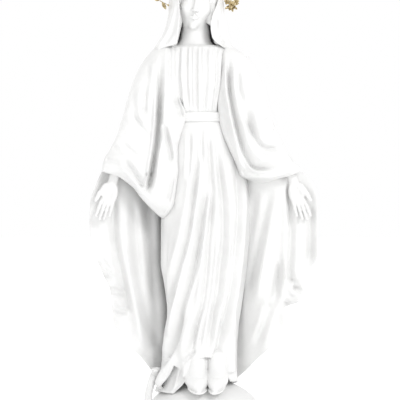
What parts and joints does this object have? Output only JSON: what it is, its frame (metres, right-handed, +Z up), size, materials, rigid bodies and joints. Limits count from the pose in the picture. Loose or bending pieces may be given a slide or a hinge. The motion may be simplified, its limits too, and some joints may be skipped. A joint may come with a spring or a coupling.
{
  "type": "madonna statue",
  "caption": "Standing robed figure with open hands, a long mantle and a veil, on a half globe with a serpent, with a removable gilt flower wreath.",
  "frame": {"origin": "centre of the felt pad's underside, at the base", "axes": "+Z up along the figure, the figure faces -Y, and +X is at the right of someone who faces the figure"},
  "size_m": [0.315, 0.1906, 0.667],
  "materials": {
    "cast_stone": "matt white cast marble",
    "gilt": "polished gilt brass",
    "steel": "plain zinc-plated steel",
    "dowel_wood": "plain beech",
    "felt": "green felt"
  },
  "bodies": {
    "statue": {"felt_pad": "felt", "plinth": "cast_stone", "globe": "cast_stone", "serpent": "cast_stone", "skirt": "cast_stone", "bodice": "cast_stone", "belt": "cast_stone", "mantle": "cast_stone", "left_sleeve": "cast_stone", "right_sleeve": "cast_stone", "left_hand": "cast_stone", "right_hand": "cast_stone", "left_shoe": "cast_stone", "right_shoe": "cast_stone", "head": "cast_stone", "hair": "cast_stone", "veil": "cast_stone", "neck_dowel": "dowel_wood", "left_wrist_pin": "steel", "right_wrist_pin": "steel", "tie_rod": "steel", "washer": "steel", "nut": "steel"},
    "wreath": {"crown_band": "gilt", "crown_leaf_01": "gilt", "crown_leaf_02": "gilt", "crown_leaf_03": "gilt", "crown_leaf_04": "gilt", "crown_leaf_05": "gilt", "crown_leaf_06": "gilt", "crown_leaf_07": "gilt", "crown_leaf_08": "gilt", "crown_leaf_09": "gilt", "crown_leaf_10": "gilt", "crown_leaf_11": "gilt", "crown_leaf_12": "gilt", "crown_blossom_1": "gilt", "crown_blossom_2": "gilt", "crown_blossom_3": "gilt", "crown_blossom_4": "gilt", "crown_blossom_5": "gilt", "crown_blossom_6": "gilt"}
  },
  "joints": [
    {"name": "wreath_lift", "type": "slide", "parent": "statue", "child": "wreath", "axis": [0, 0, 1], "range_m": [0, 0.08]}
  ]
}
